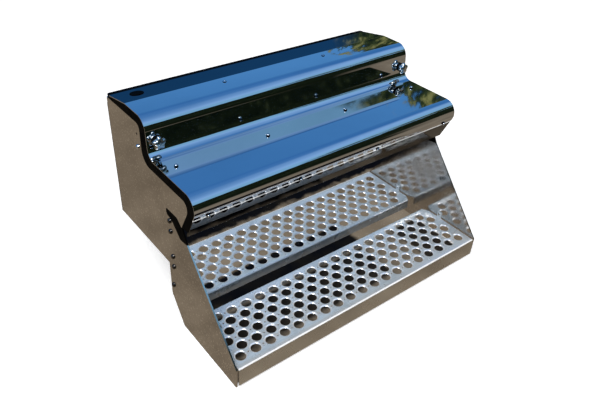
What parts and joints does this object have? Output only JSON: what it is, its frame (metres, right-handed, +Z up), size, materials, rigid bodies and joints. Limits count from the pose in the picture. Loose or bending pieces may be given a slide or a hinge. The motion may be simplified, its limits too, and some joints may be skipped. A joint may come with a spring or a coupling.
{
  "type": "truck entry step",
  "caption": "Frame-side box with a polished S-shaped two-step cover held by star knobs, a mirror riser and a low perforated tread between flat end plates.",
  "frame": {"origin": "centre of the four frame bolt holes, on the outer face of the rear panel", "axes": "+X along the step to the right seen from the front, +Y to the rear, +Z up"},
  "size_m": [0.923, 0.626, 0.6],
  "materials": {
    "end_plate": "polished, lightly speckled",
    "seal_rubber": "matte black",
    "tread_metal": "satin",
    "mirror_sheet": "mirror polished",
    "box_sheet": "satin black",
    "cover_sheet": "mirror polished",
    "bright_fastener": "bright",
    "dark_bolt": "blackened",
    "dark_washer": "matte black",
    "knob_chrome": "bright"
  },
  "bodies": {
    "frame_box": {"end_plate_left": "end_plate", "end_plate_right": "end_plate", "slot_seal_left": "seal_rubber", "slot_seal_right": "seal_rubber", "tread": "tread_metal", "riser_panel": "mirror_sheet", "box_floor": "box_sheet", "rear_panel": "box_sheet", "rear_weather_strip": "seal_rubber", "side_bolts_left": "dark_bolt", "side_bolts_right": "dark_bolt", "side_nuts_left": "bright_fastener", "side_nuts_right": "bright_fastener", "bracket_bolt_left": "bright_fastener", "bracket_bolt_right": "bright_fastener", "tread_screw_left": "bright_fastener", "tread_screw_right": "bright_fastener", "knob_bracket_left": "box_sheet", "knob_bracket_right": "box_sheet", "bracket_insert_left": "bright_fastener", "bracket_insert_right": "bright_fastener"},
    "cover": {"step_cover": "cover_sheet", "edge_seal_left": "seal_rubber", "edge_seal_right": "seal_rubber", "second_step_rail": "box_sheet", "first_step_rail": "box_sheet", "lip_rail": "box_sheet", "second_step_screws": "bright_fastener", "first_step_screws": "bright_fastener", "lip_screws": "bright_fastener", "cover_plug": "seal_rubber", "knob_washer_left": "dark_washer", "knob_washer_right": "dark_washer"},
    "left_knob": {"knob_left": "knob_chrome", "knob_stud_left": "bright_fastener"},
    "right_knob": {"knob_right": "knob_chrome", "knob_stud_right": "bright_fastener"}
  },
  "joints": [
    {"name": "cover_pull", "type": "slide", "parent": "frame_box", "child": "cover", "axis": [0, -1, 0], "range_m": [0, 0.64]},
    {"name": "left_knob_turn", "type": "hinge", "parent": "cover", "child": "left_knob", "pos_m": [-0.43, -0.24, 0.153], "axis": [0, -1, 0], "continuous": true},
    {"name": "right_knob_turn", "type": "hinge", "parent": "cover", "child": "right_knob", "pos_m": [0.43, -0.24, 0.153], "axis": [0, -1, 0], "continuous": true}
  ]
}
